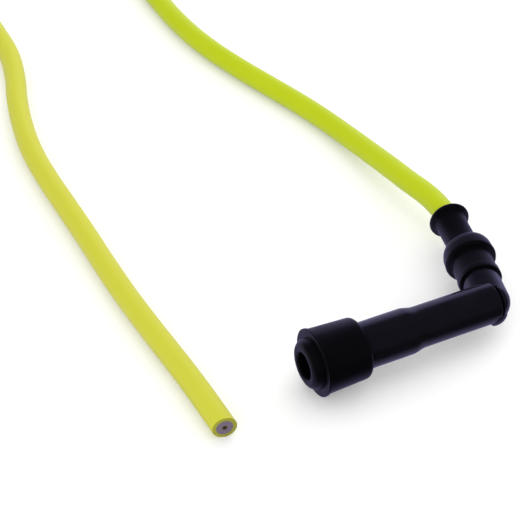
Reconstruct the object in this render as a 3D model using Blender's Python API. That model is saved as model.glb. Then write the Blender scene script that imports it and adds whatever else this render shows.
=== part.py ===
"""Spark plug wire: a yellow ignition lead with an elbowed resistor cap on one end.

The cap's two axes cross at the elbow's centre, and every turned piece is drawn along one of
them: the plug leg runs along X, with its mouth towards -X, and the cable leg is turned from it
by the elbow's angle. The other end of the lead is cut off square and lies on the table.
The cap is level, on the lip of its plug boot, with the stiff lead carrying the cable leg.
"""
import math

import bmesh
import bpy
from mathutils import Matrix, Vector

MM = 0.001

# Driving dimensions, in millimetres. Places along a leg are measured from the elbow's centre.
ELBOW_ANGLE = 104.2
CLEARANCE = 0.3
RUBBER_FIT = 0.2
BODY_FRONT = 51.5

# Plug boot
BOOT_OVERHANG = 5.5
NOSE_LENGTH = 3.0
NOSE_BASE_RADIUS = 7.4
NOSE_TIP_RADIUS = 5.2
MOUTH_RADIUS = 3.95
MOUTH_ROUNDING = 0.7
MOUTH_WALL = 1.4
BOOT_FACE = BODY_FRONT + BOOT_OVERHANG
BOOT_LENGTH = 14.7
BOOT_LIP_RADIUS = 9.85
BOOT_LIP_LENGTH = 0.8
BOOT_FRONT_RADIUS = 9.5
BOOT_REAR_RADIUS = 8.95
BOOT_REAR_ROUNDING = 1.6
INSULATOR_RADIUS = 5.2
SEALING_RIB = 0.35

# Cap body, plug leg
BARREL_RADIUS = 6.75
BARREL_REAR = 28.0
TAPER_LENGTH = 4.2
STEM_RADIUS = 6.0
STEM_END = 0.5
BODY_BEAD_HEIGHT = 0.45
BODY_BEAD_WIDTH = 1.6
BODY_BEAD_SETBACK = 1.6
BODY_BEAD_PLACE = BODY_FRONT - BODY_BEAD_SETBACK
SOCKET_BORE_RADIUS = 5.0
SOCKET_FLOOR = 33.0
CONTACT_BORE_RADIUS = 3.25
SPIGOT_BORE_RADIUS = 4.6
SPIGOT_BORE_DEPTH = 2.5
EDGE_BREAK = 0.3

# Cap body, cable leg
LEG_RADIUS = 5.5
LEG_LENGTH = 21.5
LEG_BEAD_HEIGHT = 0.35
LEG_BEAD_WIDTH = 1.3
LEG_BEAD_PLACE = 19.15
CABLE_BORE_RADIUS = 3.75
CABLE_BORE_FLOOR = 8.8
SCREW_HOLE_RADIUS = 1.05

# End cover with its hook
COVER_RADIUS = 6.5
COVER_GAP = 0.5
COVER_THICKNESS = 3.0
COVER_ROUNDING = 2.4
COVER_CROWN = 0.15
COVER_RECESS = 1.3
SPIGOT_WALL = 0.9
HOOK_REACH = 2.4
HOOK_THICKNESS = 0.65
HOOK_START = 188.0
HOOK_SWEEP = 84.0

# Cable boot. Its neck leans from the cable leg's axis, where the stiff lead pulls it.
NECK_LEAN = 2.6
SKIRT_END = 9.0
SKIRT_LIP_RADIUS = 6.45
SKIRT_LIP_LENGTH = 2.4
SKIRT_LIP_ROUNDING = 0.4
SKIRT_RADIUS = 6.15
RING_PLACE = 18.0
RING_RADIUS = 7.7
RING_LENGTH = 3.3
RING_ROUNDING = 1.1
RING_DRAFT = 0.2
SHOULDER_LENGTH = 4.0
NECK_RADIUS = 4.6
BEAD_RADIUS = 6.15
BEAD_LENGTH = 1.9
CABLE_EXIT = 39.4
ENTRY_FLARE = 0.55
ENTRY_FLARE_DEPTH = 2.0

# Inside the cap
CONTACT_BLOCK_RADIUS = 3.0
CONTACT_BLOCK_FRONT = 4.5
STUD_RADIUS = 0.75
STUD_TAIL = 1.7
COLLAR_RADIUS = 2.4
COLLAR_THICKNESS = 0.9
THREAD_RADIUS = 1.5
THREAD_DEPTH = 0.5
THREAD_PITCH = 1.25
THREAD_LENGTH = 8.5
SPRING_COIL_RADIUS = 2.2
SPRING_WIRE_RADIUS = 0.3
SPRING_LENGTH = 7.0
SPRING_TURNS = 5.5
RESISTOR_RADIUS = 2.4
RESISTOR_LENGTH = 14.2
RESISTOR_CAP_RADIUS = 2.9
RESISTOR_CAP_LENGTH = 2.8
RESISTOR_CAP_END = 0.4
TERMINAL_FLANGE_RADIUS = 4.5
TERMINAL_FLANGE_THICKNESS = 1.0
TERMINAL_RADIUS = 4.4
TERMINAL_BORE_RADIUS = 3.35
TERMINAL_LENGTH = 9.4
TERMINAL_FLOOR_THICKNESS = 0.6
TERMINAL_SLOT_WIDTH = 0.8
TERMINAL_SLOT_LENGTH = 6.0
CLIP_WIRE_RADIUS = 0.25
CLIP_PLACE = 41.2
CLIP_SWEEP = 300.0

# Lead
WIRE_RADIUS = 3.5
SCREWED_END_BORE_RADIUS = 1.75
SCREWED_END_LENGTH = 9.0
CUT_END_LENGTH = 10.0
INSULATION_RADIUS = 2.4
LAYER_GAP = 0.1
CONDUCTOR_RADIUS = 0.75
STRAND_LAY = 14.0

# The lead's route after the cable boot, relative to the elbow's centre on the table: X, Y and
# the height of the lead's own centre. It comes down from the boot, runs out past the cap,
# turns round in an open loop and comes back to the cut end.
ROUTE = [
    (9.5, 44.5, 9.7), (9.4, 52.0, 9.3), (8.4, 60.5, 8.5), (7.8, 70.0, 7.3), (6.9, 82.5, 5.6),
    (5.4, 96.0, 4.2), (3.1, 108.8, 3.5), (-0.1, 120.7, 3.5), (-5.0, 136.0, 3.5),
    (-9.6, 151.0, 3.5), (-13.2, 166.0, 3.5), (-15.2, 181.0, 3.5), (-15.8, 197.0, 3.5),
    (-15.6, 214.5, 3.5), (-15.6, 232.0, 3.5), (-19.6, 247.0, 3.5), (-30.6, 258.0, 3.5),
    (-45.6, 262.0, 3.5), (-60.6, 258.0, 3.5), (-71.4, 247.4, 3.5), (-75.6, 232.0, 3.5),
    (-75.8, 218.0, 3.5), (-75.8, 204.0, 3.5), (-76.5, 190.0, 3.5), (-79.3, 176.5, 3.5),
    (-83.3, 163.5, 3.5), (-86.6, 150.0, 3.5), (-89.0, 135.0, 3.5), (-89.8, 119.0, 3.5),
    (-89.7, 103.0, 3.5), (-89.6, 87.0, 3.5), (-89.7, 71.0, 3.5), (-89.5, 55.0, 3.5),
    (-88.8, 40.0, 3.5), (-87.9, 26.0, 3.5), (-87.2, 13.0, 3.5),
]
CUT_END = (-86.75, -6.0)
CUT_END_HEADING = -88.5
CUT_SLANT = 10.0
WIRE_POINT_SPACING = 8.5

# Round pieces are built with these numbers of sides.
OUTER_SIDES = 40
INNER_SIDES = 24


def clear_scene():
    """Empties the file of the objects that it opened with."""
    for thing in list(bpy.data.objects):
        bpy.data.objects.remove(thing, do_unlink=True)


def material(name, colour, roughness, metallic=0.0):
    """A plain Principled material."""
    finish = bpy.data.materials.new(name)
    finish.use_nodes = True
    shader = finish.node_tree.nodes["Principled BSDF"]
    shader.inputs["Base Color"].default_value = (*colour, 1.0)
    shader.inputs["Roughness"].default_value = roughness
    shader.inputs["Metallic"].default_value = metallic
    return finish


def axis_frame(name, place, heading):
    """An empty whose X axis is one of the drawing's axes."""
    frame = bpy.data.objects.new(name, None)
    frame.empty_display_size = 10 * MM
    frame.location = [value * MM for value in place]
    frame.rotation_euler = (0, 0, math.radians(heading))
    bpy.context.collection.objects.link(frame)
    return frame


def finish_mesh(mesh_data, name, finish, frame):
    """Makes an object of a bmesh, with its faces out and its round sides shaded smooth."""
    bmesh.ops.remove_doubles(mesh_data, verts=mesh_data.verts, dist=0.001 * MM)
    bmesh.ops.recalc_face_normals(mesh_data, faces=mesh_data.faces)
    mesh = bpy.data.meshes.new(name)
    mesh_data.to_mesh(mesh)
    mesh_data.free()
    mesh.shade_smooth()
    mesh.set_sharp_from_angle(angle=math.radians(35))
    thing = bpy.data.objects.new(name, mesh)
    thing.parent = frame
    if finish:
        mesh.materials.append(finish)
    bpy.context.collection.objects.link(thing)
    return thing


def turned(name, outline, finish, frame, sides=OUTER_SIDES):
    """Turns an outline of (along, radius) points about the frame's X axis.

    An outline that starts and ends on the axis makes a solid bar; any other is closed into a
    loop and makes a ring.
    """
    mesh_data = bmesh.new()
    points = [mesh_data.verts.new((along * MM, radius * MM, 0)) for along, radius in outline]
    pairs = list(zip(points, points[1:]))
    on_axis = outline[0][1] == 0 and outline[-1][1] == 0
    if not on_axis:
        pairs.append((points[-1], points[0]))
    edges = [mesh_data.edges.new(pair) for pair in pairs]
    bmesh.ops.spin(mesh_data, geom=points + edges, axis=(1, 0, 0), cent=(0, 0, 0),
                   dvec=(0, 0, 0), angle=2 * math.pi, steps=sides, use_merge=True)
    return finish_mesh(mesh_data, name, finish, frame)


def arc(centre_along, centre_radius, size, start, end, steps):
    """Points along a round stretch of an outline; 0 degrees points along, 90 points outwards."""
    angles = [math.radians(start + (end - start) * k / steps) for k in range(steps + 1)]
    return [(centre_along + size * math.cos(a), centre_radius + size * math.sin(a))
            for a in angles]


def sectioned(name, rows, radius_at, finish, frame, sides):
    """A bar along the frame's X axis whose radius changes round it as well as along it."""
    mesh_data = bmesh.new()
    rings = []
    for along in rows:
        ring = []
        for k in range(sides):
            angle = 2 * math.pi * k / sides
            radius = radius_at(along, angle)
            ring.append(mesh_data.verts.new((along * MM, radius * math.cos(angle) * MM,
                                             radius * math.sin(angle) * MM)))
        rings.append(ring)
    for lower, upper in zip(rings, rings[1:]):
        for k in range(sides):
            following = (k + 1) % sides
            mesh_data.faces.new((lower[k], lower[following], upper[following], upper[k]))
    mesh_data.faces.new(rings[0])
    mesh_data.faces.new(rings[-1])
    return finish_mesh(mesh_data, name, finish, frame)


def sector(name, start, end, inner, outer, from_angle, to_angle, finish, frame):
    """A piece of a ring about the frame's X axis, between two angles seen from +X."""
    steps = 12
    mesh_data = bmesh.new()
    angles = [math.radians(from_angle + (to_angle - from_angle) * k / steps)
              for k in range(steps + 1)]
    outline = [(outer, a) for a in angles] + [(inner, a) for a in reversed(angles)]
    points = [mesh_data.verts.new((start * MM, radius * math.cos(a) * MM,
                                   radius * math.sin(a) * MM)) for radius, a in outline]
    face = mesh_data.faces.new(points)
    grown = bmesh.ops.extrude_face_region(mesh_data, geom=[face])
    moved = [item for item in grown["geom"] if isinstance(item, bmesh.types.BMVert)]
    bmesh.ops.translate(mesh_data, verts=moved, vec=((end - start) * MM, 0, 0))
    return finish_mesh(mesh_data, name, finish, frame)


def slab(name, start, end, width, height, frame):
    """A flat cutter along the frame's X axis."""
    mesh_data = bmesh.new()
    size = Matrix.Diagonal(((end - start) * MM, width * MM, height * MM, 1))
    place = Matrix.Translation(((start + end) / 2 * MM, 0, 0))
    bmesh.ops.create_cube(mesh_data, size=1, matrix=place @ size)
    return finish_mesh(mesh_data, name, None, frame)


def combine(target, tool, operation):
    """Adds a boolean with a tool object, which is then only a guide."""
    tool.hide_render = True
    tool.display_type = "WIRE"
    step = target.modifiers.new(tool.name, "BOOLEAN")
    step.object = tool
    step.operation = operation
    step.solver = "EXACT"


def tube(name, points, radius, finish, frame, bevel_steps):
    """A round rod along a line of points, as a curve with filled ends."""
    curve = bpy.data.curves.new(name, "CURVE")
    curve.dimensions = "3D"
    curve.bevel_depth = radius * MM
    curve.bevel_resolution = bevel_steps
    curve.use_fill_caps = True
    spline = curve.splines.new("POLY")
    spline.points.add(len(points) - 1)
    for target, point in zip(spline.points, points):
        target.co = (*[value * MM for value in point], 1)
    curve.materials.append(finish)
    thing = bpy.data.objects.new(name, curve)
    thing.parent = frame
    bpy.context.collection.objects.link(thing)
    return thing


def smooth_line(knots, spacing):
    """Evenly spaced points on a smooth curve through the knots."""
    dense = []
    ends = [2 * knots[0] - knots[1]] + list(knots) + [2 * knots[-1] - knots[-2]]
    for before, start, end, after in zip(ends, ends[1:], ends[2:], ends[3:]):
        times = [0.0]
        for one, other in ((before, start), (start, end), (end, after)):
            times.append(times[-1] + math.sqrt((other - one).length))
        for k in range(24):
            t = times[1] + (times[2] - times[1]) * k / 24
            dense.append(centripetal(before, start, end, after, times, t))
    dense.append(knots[-1])
    lengths = [0.0]
    for one, other in zip(dense, dense[1:]):
        lengths.append(lengths[-1] + (other - one).length)
    count = max(2, round(lengths[-1] / spacing))
    points = []
    k = 0
    for step in range(count + 1):
        want = lengths[-1] * step / count
        while k < len(dense) - 2 and lengths[k + 1] < want:
            k += 1
        share = (want - lengths[k]) / (lengths[k + 1] - lengths[k])
        points.append(dense[k].lerp(dense[k + 1], min(1.0, share)))
    return points


def centripetal(before, start, end, after, times, t):
    """One point of a centripetal Catmull-Rom curve."""
    def blend(one, other, t_one, t_other):
        return one * ((t_other - t) / (t_other - t_one)) + other * ((t - t_one) / (t_other - t_one))
    a = blend(before, start, times[0], times[1])
    b = blend(start, end, times[1], times[2])
    c = blend(end, after, times[2], times[3])
    return blend(blend(a, b, times[0], times[2]), blend(b, c, times[1], times[3]),
                 times[1], times[2])


def lean(piece):
    """Leans what lies beyond the end of the cable leg, as the stiff lead does to the boot."""
    pivot = Vector(((LEG_LENGTH + CLEARANCE) * MM, 0, 0))
    turn = Matrix.Rotation(math.radians(NECK_LEAN), 3, "Z")
    for vertex in piece.data.vertices:
        if vertex.co.x > pivot.x:
            vertex.co = pivot + turn @ (vertex.co - pivot)


def slant(piece):
    """Cuts a piece's end off a little askew, as a hand tool does to the lead."""
    slope = math.tan(math.radians(CUT_SLANT))
    for vertex in piece.data.vertices:
        if vertex.co.x > -0.001 * MM:
            vertex.co.x += slope * vertex.co.y


def on_cable_axis(elbow, reach):
    """A point on the axis of the cable leg and the leaning neck, so far from the elbow."""
    heading = math.radians(180 - ELBOW_ANGLE)
    leaning = math.radians(180 - ELBOW_ANGLE + NECK_LEAN)
    straight = min(reach, LEG_LENGTH + CLEARANCE)
    beyond = reach - straight
    return elbow + Vector((
        straight * math.cos(heading) + beyond * math.cos(leaning),
        straight * math.sin(heading) + beyond * math.sin(leaning),
        0,
    ))


def plug_boot(finish, frame):
    """Rubber boot that seals on the plug's insulator: a lipped collar with a bulging nose."""
    face = -BOOT_FACE
    tip = face - NOSE_LENGTH
    rear = face + BOOT_LENGTH
    grip = BARREL_RADIUS + RUBBER_FIT
    seat = -BODY_FRONT - CLEARANCE
    bead = grip + BODY_BEAD_HEIGHT
    rib = INSULATOR_RADIUS - SEALING_RIB
    rib_place = (seat + tip) / 2
    nose = arc(tip + MOUTH_ROUNDING, MOUTH_RADIUS + MOUTH_ROUNDING, MOUTH_ROUNDING, 270, 180, 3)
    shoulder_depth = NOSE_LENGTH - 0.4
    shoulder_height = NOSE_BASE_RADIUS - NOSE_TIP_RADIUS
    for k in range(1, 6):
        angle = math.radians(90 * k / 5)
        nose.append((tip + shoulder_depth * (1 - math.cos(angle)),
                     NOSE_TIP_RADIUS + shoulder_height * math.sin(angle)))
    collar = [
        (face, NOSE_BASE_RADIUS + 0.1),
        (face, BOOT_LIP_RADIUS),
        (face + BOOT_LIP_LENGTH, BOOT_LIP_RADIUS),
        (face + BOOT_LIP_LENGTH + 0.2, BOOT_FRONT_RADIUS),
    ]
    heel = arc(rear - BOOT_REAR_ROUNDING, BOOT_REAR_RADIUS - BOOT_REAR_ROUNDING,
               BOOT_REAR_ROUNDING, 90, 0, 4)
    inside = [
        (rear, grip),
        (-BODY_BEAD_PLACE + BODY_BEAD_WIDTH / 2 + CLEARANCE, grip),
        (-BODY_BEAD_PLACE + BODY_BEAD_WIDTH / 2, bead),
        (-BODY_BEAD_PLACE - BODY_BEAD_WIDTH / 2, bead),
        (-BODY_BEAD_PLACE - BODY_BEAD_WIDTH / 2 - CLEARANCE, grip),
        (seat, grip),
        (seat, INSULATOR_RADIUS),
        (rib_place + 0.6, INSULATOR_RADIUS),
        (rib_place, rib),
        (rib_place - 0.6, INSULATOR_RADIUS),
        (tip + MOUTH_WALL, INSULATOR_RADIUS),
        (tip + MOUTH_WALL, MOUTH_RADIUS),
    ]
    return turned("plug_boot", nose + collar + heel + inside, finish, frame)


def cap_body(finish, plug_axis, cable_axis):
    """Moulded housing: two bored legs, open at the mouth, at the cable and behind the elbow."""
    bead = BARREL_RADIUS + BODY_BEAD_HEIGHT
    stem_start = -BARREL_REAR + TAPER_LENGTH
    body = turned("cap_body", [
        (-BODY_FRONT, 0),
        (-BODY_FRONT, BARREL_RADIUS - EDGE_BREAK),
        (-BODY_FRONT + EDGE_BREAK, BARREL_RADIUS),
        (-BODY_BEAD_PLACE - BODY_BEAD_WIDTH / 2, BARREL_RADIUS),
        (-BODY_BEAD_PLACE - BODY_BEAD_WIDTH / 4, bead),
        (-BODY_BEAD_PLACE + BODY_BEAD_WIDTH / 4, bead),
        (-BODY_BEAD_PLACE + BODY_BEAD_WIDTH / 2, BARREL_RADIUS),
        (-BARREL_REAR, BARREL_RADIUS),
        (-BARREL_REAR + TAPER_LENGTH * 0.15, BARREL_RADIUS - 0.06),
        (stem_start - TAPER_LENGTH * 0.15, STEM_RADIUS + 0.06),
        (stem_start, STEM_RADIUS),
        (STEM_END - EDGE_BREAK, STEM_RADIUS),
        (STEM_END, STEM_RADIUS - EDGE_BREAK),
        (STEM_END, 0),
    ], finish, plug_axis)
    leg_bead = LEG_RADIUS + LEG_BEAD_HEIGHT
    leg = turned("leg_form", [
        (0, 0),
        (0, LEG_RADIUS),
        (LEG_BEAD_PLACE - LEG_BEAD_WIDTH / 2, LEG_RADIUS),
        (LEG_BEAD_PLACE - LEG_BEAD_WIDTH / 4, leg_bead),
        (LEG_BEAD_PLACE + LEG_BEAD_WIDTH / 4, leg_bead),
        (LEG_BEAD_PLACE + LEG_BEAD_WIDTH / 2, LEG_RADIUS),
        (LEG_LENGTH - EDGE_BREAK, LEG_RADIUS),
        (LEG_LENGTH, LEG_RADIUS - EDGE_BREAK),
        (LEG_LENGTH, 0),
    ], None, cable_axis)
    combine(body, leg, "UNION")
    pocket_radius = COVER_RADIUS + CLEARANCE
    cover_end = STEM_END + COVER_GAP + COVER_THICKNESS
    pocket = turned("cover_pocket", [
        (STEM_END, 0), (STEM_END, pocket_radius), (cover_end + 2, pocket_radius), (cover_end + 2, 0),
    ], None, plug_axis)
    combine(body, pocket, "DIFFERENCE")
    plug_bore = turned("plug_bore", [
        (-BODY_FRONT - 1, 0),
        (-BODY_FRONT - 1, SOCKET_BORE_RADIUS),
        (-SOCKET_FLOOR, SOCKET_BORE_RADIUS),
        (-SOCKET_FLOOR, CONTACT_BORE_RADIUS),
        (STEM_END - SPIGOT_BORE_DEPTH, CONTACT_BORE_RADIUS),
        (STEM_END - SPIGOT_BORE_DEPTH, SPIGOT_BORE_RADIUS),
        (STEM_END + 1, SPIGOT_BORE_RADIUS),
        (STEM_END + 1, 0),
    ], None, plug_axis, INNER_SIDES)
    combine(body, plug_bore, "DIFFERENCE")
    cable_bore = turned("cable_bore", [
        (CONTACT_BORE_RADIUS / 2, 0),
        (CONTACT_BORE_RADIUS / 2, SCREW_HOLE_RADIUS),
        (CABLE_BORE_FLOOR, SCREW_HOLE_RADIUS),
        (CABLE_BORE_FLOOR, CABLE_BORE_RADIUS),
        (LEG_LENGTH + 1, CABLE_BORE_RADIUS),
        (LEG_LENGTH + 1, 0),
    ], None, cable_axis, INNER_SIDES)
    combine(body, cable_bore, "DIFFERENCE")
    margin = math.degrees(CLEARANCE / COVER_RADIUS)
    notch = sector("hook_notch", STEM_END + COVER_GAP - HOOK_REACH - CLEARANCE, STEM_END + 1,
                   COVER_RADIUS - HOOK_THICKNESS - CLEARANCE, COVER_RADIUS + 2,
                   HOOK_START - margin, HOOK_START + HOOK_SWEEP + margin, None, plug_axis)
    combine(body, notch, "DIFFERENCE")
    return body


def end_cover(finish, plug_axis, cable_axis):
    """Snap-in lid behind the elbow: a spigot ring, a relief for the stud and a hook below."""
    face = STEM_END + COVER_GAP
    back = face + COVER_THICKNESS
    spigot_radius = SPIGOT_BORE_RADIUS - CLEARANCE
    spigot_end = STEM_END - SPIGOT_BORE_DEPTH + CLEARANCE
    rim = arc(back - COVER_ROUNDING, COVER_RADIUS - COVER_ROUNDING, COVER_ROUNDING, 90, 0, 6)
    cover = turned("end_cover", [
        (face + COVER_RECESS, 0),
        (face + COVER_RECESS, spigot_radius - SPIGOT_WALL),
        (spigot_end, spigot_radius - SPIGOT_WALL),
        (spigot_end, spigot_radius),
        (face, spigot_radius),
        (face, COVER_RADIUS),
        *rim,
        (back + COVER_CROWN, 0),
    ], finish, plug_axis)
    hook = sector("hook_form", face - HOOK_REACH, face + 0.4, COVER_RADIUS - HOOK_THICKNESS,
                  COVER_RADIUS - 0.01, HOOK_START, HOOK_START + HOOK_SWEEP, None, plug_axis)
    combine(cover, hook, "UNION")
    relief = turned("stud_relief", [
        (CONTACT_BLOCK_RADIUS, 0), (CONTACT_BLOCK_RADIUS, SCREW_HOLE_RADIUS),
        (COVER_RADIUS + 2, SCREW_HOLE_RADIUS), (COVER_RADIUS + 2, 0),
    ], None, cable_axis, INNER_SIDES)
    combine(cover, relief, "DIFFERENCE")
    return cover


def cable_boot(finish, frame):
    """Rubber boot over the cable leg: lipped skirt, broad ring, neck and beaded entry."""
    grip = LEG_RADIUS + RUBBER_FIT
    seat = LEG_LENGTH + CLEARANCE
    wire_fit = WIRE_RADIUS + RUBBER_FIT
    groove = grip + LEG_BEAD_HEIGHT
    ring_end = RING_PLACE + RING_LENGTH
    shoulder_end = ring_end + SHOULDER_LENGTH
    bead_start = CABLE_EXIT - BEAD_LENGTH
    ring_top = RING_RADIUS - RING_DRAFT
    outside = [
        (SKIRT_END, grip),
        *arc(SKIRT_END + SKIRT_LIP_ROUNDING, SKIRT_LIP_RADIUS - SKIRT_LIP_ROUNDING,
             SKIRT_LIP_ROUNDING, 180, 90, 3),
        (SKIRT_END + SKIRT_LIP_LENGTH, SKIRT_LIP_RADIUS),
        (SKIRT_END + SKIRT_LIP_LENGTH + EDGE_BREAK, SKIRT_RADIUS),
        (RING_PLACE, SKIRT_RADIUS),
        *arc(RING_PLACE + RING_ROUNDING, RING_RADIUS - RING_ROUNDING, RING_ROUNDING, 180, 90, 4),
    ]
    for k in range(7):
        angle = math.radians(90 * k / 6)
        outside.append((ring_end + SHOULDER_LENGTH * math.sin(angle),
                        NECK_RADIUS + (ring_top - NECK_RADIUS) * math.cos(angle)))
    outside.append((bead_start - 1.0, NECK_RADIUS))
    outside.append((bead_start - 0.3, NECK_RADIUS + 0.3))
    half = BEAD_LENGTH / 2
    outside += arc(bead_start + half, BEAD_RADIUS - half, half, 170, 0, 6)
    inside = [
        (CABLE_EXIT, wire_fit + ENTRY_FLARE),
        (CABLE_EXIT - ENTRY_FLARE_DEPTH, wire_fit),
        (seat, wire_fit),
        (seat, grip),
        (LEG_BEAD_PLACE + LEG_BEAD_WIDTH / 2 + RUBBER_FIT, grip),
        (LEG_BEAD_PLACE + LEG_BEAD_WIDTH / 2, groove),
        (LEG_BEAD_PLACE - LEG_BEAD_WIDTH / 2, groove),
        (LEG_BEAD_PLACE - LEG_BEAD_WIDTH / 2 - RUBBER_FIT, grip),
    ]
    boot = turned("cable_boot", outside + inside, finish, frame)
    lean(boot)
    return boot


def contact_block(finish, plug_axis, cable_axis):
    """Brass block in the elbow, cross-bored for the cable screw's stud."""
    back = STEM_END + COVER_GAP + COVER_RECESS - CLEARANCE
    block = turned("contact_block", [
        (-CONTACT_BLOCK_FRONT, 0),
        (-CONTACT_BLOCK_FRONT, CONTACT_BLOCK_RADIUS - EDGE_BREAK),
        (-CONTACT_BLOCK_FRONT + EDGE_BREAK, CONTACT_BLOCK_RADIUS),
        (back - EDGE_BREAK, CONTACT_BLOCK_RADIUS),
        (back, CONTACT_BLOCK_RADIUS - EDGE_BREAK),
        (back, 0),
    ], finish, plug_axis, INNER_SIDES)
    hole = STUD_RADIUS + LAYER_GAP
    cross_bore = turned("cross_bore", [
        (-STUD_TAIL - LAYER_GAP, 0), (-STUD_TAIL - LAYER_GAP, hole),
        (CONTACT_BLOCK_RADIUS + 2, hole), (CONTACT_BLOCK_RADIUS + 2, 0),
    ], None, cable_axis, INNER_SIDES)
    combine(block, cross_bore, "DIFFERENCE")
    return block


def cable_screw(finish, frame):
    """Steel stud with a collar, and a coarse pointed thread that bites into the lead's core."""
    collar_start = CABLE_BORE_FLOOR + LAYER_GAP
    collar_end = collar_start + COLLAR_THICKNESS
    tip = collar_end + THREAD_LENGTH
    core = THREAD_RADIUS - THREAD_DEPTH
    step = THREAD_PITCH / 5
    count = round(THREAD_LENGTH / step)
    rows = [-STUD_TAIL, collar_start - 0.01, collar_start, collar_end, collar_end + 0.01]
    rows += [collar_end + 0.01 + (THREAD_LENGTH - 0.01) * k / count for k in range(1, count + 1)]

    def radius_at(along, angle):
        if along < collar_start:
            return STUD_RADIUS
        if along <= collar_end:
            return COLLAR_RADIUS
        turns = (along - collar_end) / THREAD_PITCH - angle / (2 * math.pi)
        ridge = max(0.0, 1 - 3 * abs(turns - round(turns)))
        taper = min(1.0, 0.12 + (tip - along) / (3 * THREAD_PITCH))
        run_in = min(1.0, (along - collar_end) / THREAD_PITCH)
        return (core + THREAD_DEPTH * ridge * run_in) * taper

    return sectioned("cable_screw", rows, radius_at, finish, frame, 16)


def spring_stack(finish_spring, finish_ceramic, finish_brass, frame):
    """The spring that presses the resistor, with its two end caps, against the plug terminal."""
    block_face = -CONTACT_BLOCK_FRONT - CLEARANCE
    spring_end = block_face - SPRING_LENGTH
    turns = SPRING_TURNS
    steps = 14
    points = []
    for k in range(round(turns * steps) + 1):
        turn = k / steps
        closed = min(turn, turns - turn, 1.0)
        angle = 2 * math.pi * turn
        lift = coil_lift(turn, turns)
        travel = SPRING_LENGTH - 2 * SPRING_WIRE_RADIUS
        along = block_face - SPRING_WIRE_RADIUS - travel * lift
        radius = SPRING_COIL_RADIUS - 0.1 * (1 - closed)
        points.append((along, radius * math.cos(angle), radius * math.sin(angle)))
    tube("contact_spring", points, SPRING_WIRE_RADIUS, finish_spring, frame, 1)

    cap_start = spring_end - LAYER_GAP
    rod_start = cap_start - RESISTOR_CAP_END - LAYER_GAP
    rod_end = rod_start - RESISTOR_LENGTH
    turned("resistor_rod", [
        (rod_end, 0), (rod_end, RESISTOR_RADIUS - 0.15), (rod_end + 0.15, RESISTOR_RADIUS),
        (rod_start - 0.15, RESISTOR_RADIUS), (rod_start, RESISTOR_RADIUS - 0.15), (rod_start, 0),
    ], finish_ceramic, frame, INNER_SIDES)
    far_start = rod_end - LAYER_GAP - RESISTOR_CAP_END
    for name, closed_end, direction in (("resistor_cap_cable_side", cap_start, -1),
                                        ("resistor_cap_plug_side", far_start, 1)):
        mouth = closed_end + direction * RESISTOR_CAP_LENGTH
        floor = closed_end + direction * RESISTOR_CAP_END
        bore = RESISTOR_RADIUS + LAYER_GAP
        turned(name, [
            (closed_end, 0), (closed_end, RESISTOR_CAP_RADIUS - 0.2),
            (closed_end + direction * 0.2, RESISTOR_CAP_RADIUS), (mouth, RESISTOR_CAP_RADIUS),
            (mouth, bore), (floor, bore), (floor, 0),
        ], finish_brass, frame, INNER_SIDES)
    return far_start


def coil_lift(turn, turns):
    """How far along a compression spring a turn lies, with one closed coil at each end."""
    closed_pitch = 2 * SPRING_WIRE_RADIUS * 1.15 / (SPRING_LENGTH - 2 * SPRING_WIRE_RADIUS)
    open_turns = turns - 2
    open_pitch = (1 - 2 * closed_pitch) / open_turns
    if turn < 1:
        return turn * closed_pitch
    if turn > turns - 1:
        return 1 - (turns - turn) * closed_pitch
    return closed_pitch + (turn - 1) * open_pitch


def plug_terminal(finish, frame, resistor_end):
    """Brass socket for the plug's top nut, slotted into four fingers, with a clip groove."""
    floor = -SOCKET_FLOOR - CLEARANCE
    flange_end = floor - TERMINAL_FLANGE_THICKNESS
    mouth = flange_end - TERMINAL_LENGTH
    inner_floor = flange_end - TERMINAL_FLOOR_THICKNESS
    groove = TERMINAL_RADIUS - 2 * CLIP_WIRE_RADIUS
    half_groove = CLIP_WIRE_RADIUS + LAYER_GAP
    terminal = turned("plug_terminal", [
        (resistor_end - LAYER_GAP, 0),
        (resistor_end - LAYER_GAP, CONTACT_BLOCK_RADIUS),
        (floor, CONTACT_BLOCK_RADIUS),
        (floor, TERMINAL_FLANGE_RADIUS),
        (flange_end, TERMINAL_FLANGE_RADIUS),
        (flange_end, TERMINAL_RADIUS),
        (-CLIP_PLACE + half_groove, TERMINAL_RADIUS),
        (-CLIP_PLACE + half_groove, groove),
        (-CLIP_PLACE - half_groove, groove),
        (-CLIP_PLACE - half_groove, TERMINAL_RADIUS),
        (mouth + EDGE_BREAK, TERMINAL_RADIUS),
        (mouth, TERMINAL_RADIUS - EDGE_BREAK),
        (mouth, TERMINAL_BORE_RADIUS + EDGE_BREAK),
        (mouth + EDGE_BREAK, TERMINAL_BORE_RADIUS),
        (inner_floor, TERMINAL_BORE_RADIUS),
        (inner_floor, 0),
    ], finish, frame, INNER_SIDES)
    width = 2 * TERMINAL_RADIUS + 2
    upright = slab("slot_upright", mouth - 1, mouth + TERMINAL_SLOT_LENGTH, TERMINAL_SLOT_WIDTH,
                   width, frame)
    level = slab("slot_level", mouth - 1, mouth + TERMINAL_SLOT_LENGTH, width,
                 TERMINAL_SLOT_WIDTH, frame)
    combine(terminal, upright, "DIFFERENCE")
    combine(terminal, level, "DIFFERENCE")
    return terminal


def terminal_clip(finish, frame):
    """Open ring of spring wire that closes the socket's fingers on the plug's nut."""
    radius = TERMINAL_RADIUS - CLIP_WIRE_RADIUS + LAYER_GAP / 2
    start = (360 - CLIP_SWEEP) / 2
    steps = 30
    points = []
    for k in range(steps + 1):
        angle = math.radians(start + CLIP_SWEEP * k / steps)
        points.append((-CLIP_PLACE, radius * math.cos(angle), radius * math.sin(angle)))
    return tube("terminal_clip", points, CLIP_WIRE_RADIUS, finish, frame, 1)


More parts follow.
